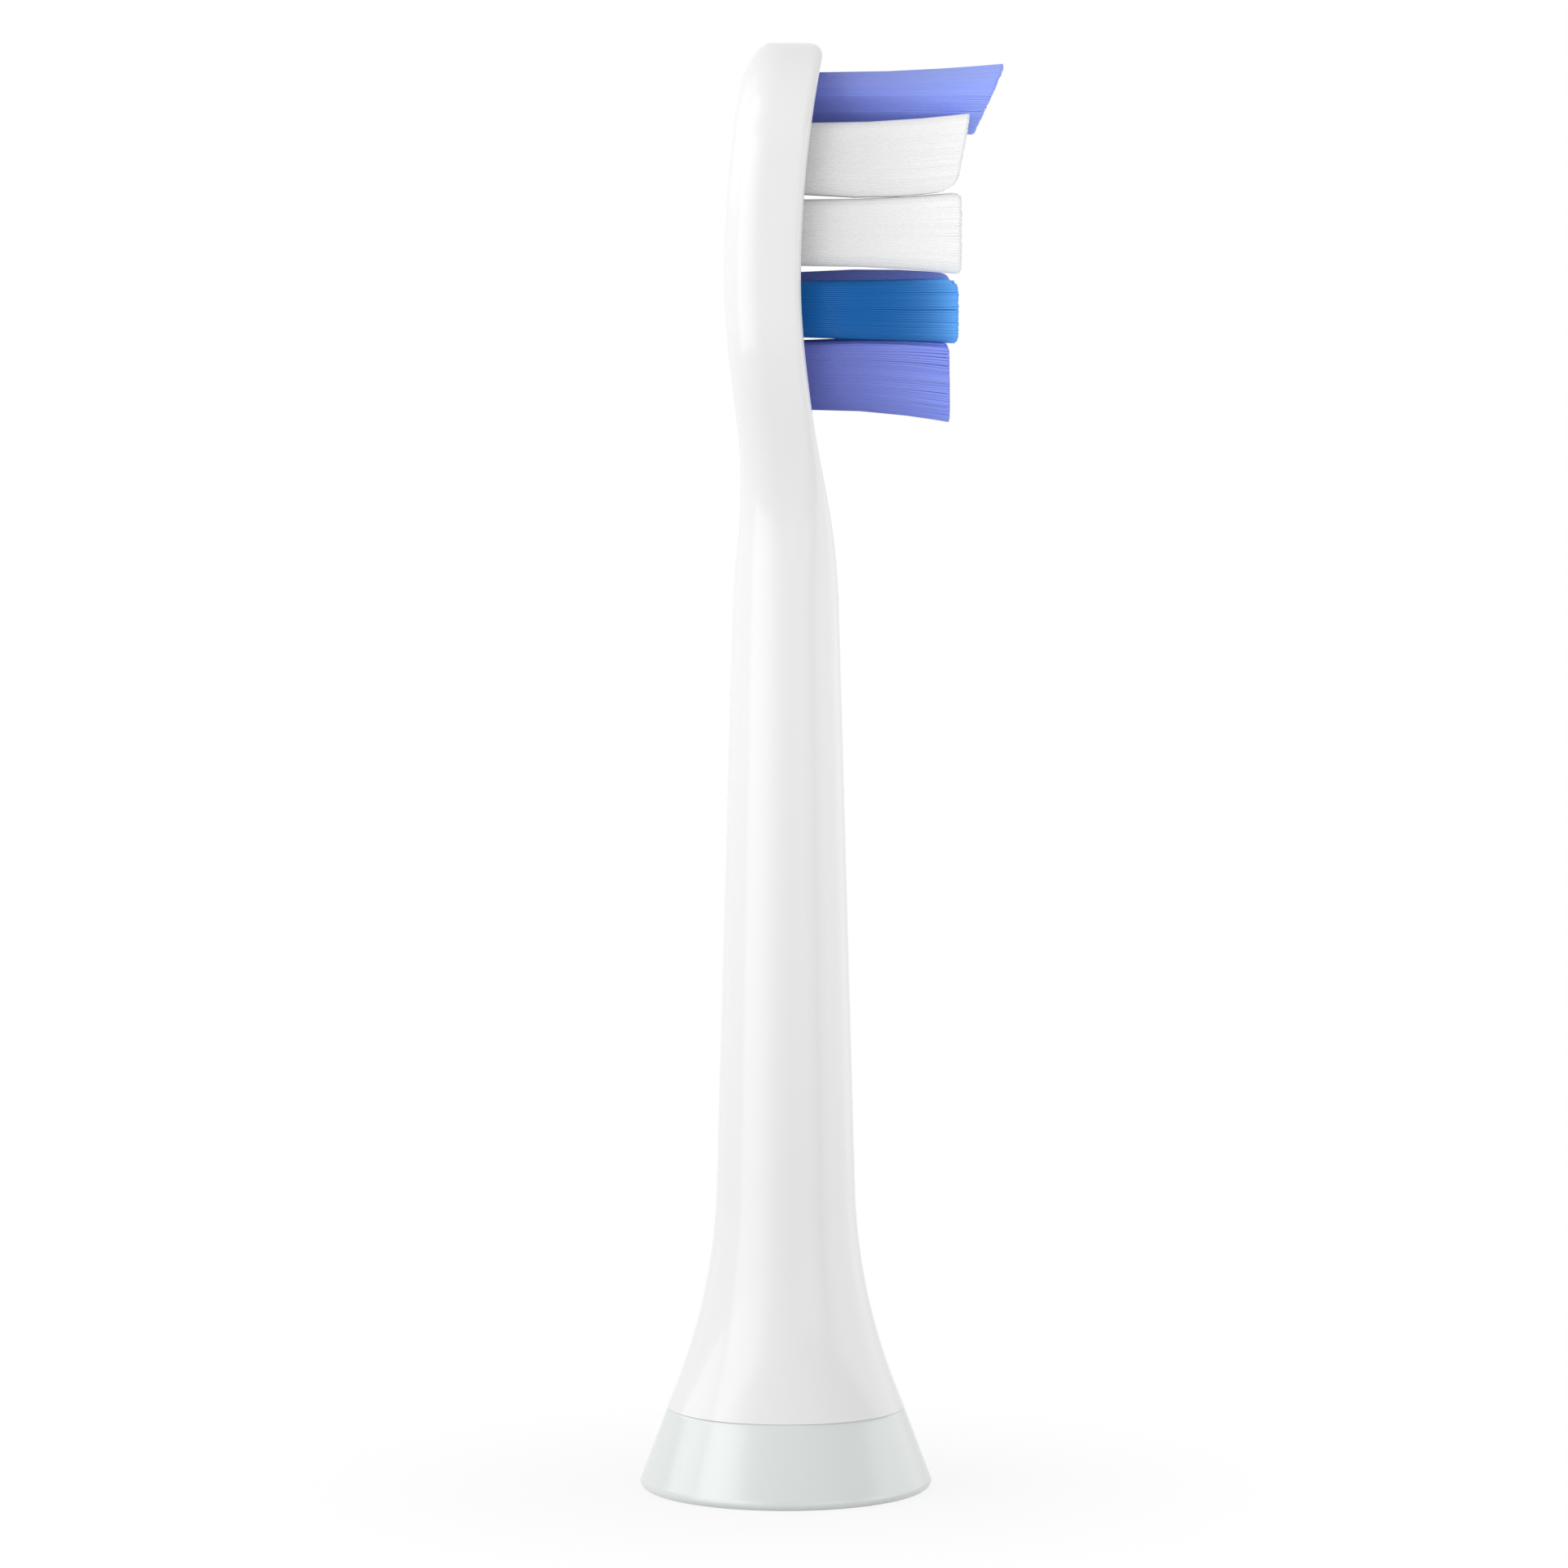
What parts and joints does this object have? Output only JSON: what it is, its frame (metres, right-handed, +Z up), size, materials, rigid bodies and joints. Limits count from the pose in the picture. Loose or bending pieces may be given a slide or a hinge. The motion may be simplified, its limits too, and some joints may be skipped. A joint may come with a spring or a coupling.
{
  "type": "electric toothbrush head",
  "caption": "Push-on head for an electric toothbrush: flared round base with a grey ring, slim tapered neck, and a wide head with dense white, blue and purple bristle tufts.",
  "frame": {"origin": "centre of the base rim, on the axis of the handle's shaft", "axes": "+Z up the neck towards the tip, +X the way the bristles point, +Y across the head"},
  "size_m": [0.019, 0.0154, 0.0764],
  "materials": {
    "white_moulding": "smooth white plastic with a soft gloss",
    "grey_ring": "pale grey plastic, faintly green",
    "inner_plastic": "plain white inner plastic",
    "spring_steel": "bare spring steel",
    "white_bristles": "fine white nylon filaments",
    "blue_bristles": "fine blue nylon filaments",
    "purple_bristles": "fine purple nylon filaments"
  },
  "bodies": {
    "root": {"brush_body": "white_moulding", "base_ring": "grey_ring", "drive_hub": "inner_plastic", "spring_clip": "spring_steel", "tip_tuft": "purple_bristles", "tuft_b_left": "white_bristles", "tuft_b_centre": "white_bristles", "tuft_b_right": "white_bristles", "tuft_c_left": "white_bristles", "tuft_c_centre": "white_bristles", "tuft_c_right": "white_bristles", "tuft_d_left": "blue_bristles", "tuft_d_centre": "purple_bristles", "tuft_d_right": "blue_bristles", "heel_tuft": "purple_bristles"}
  },
  "joints": []
}
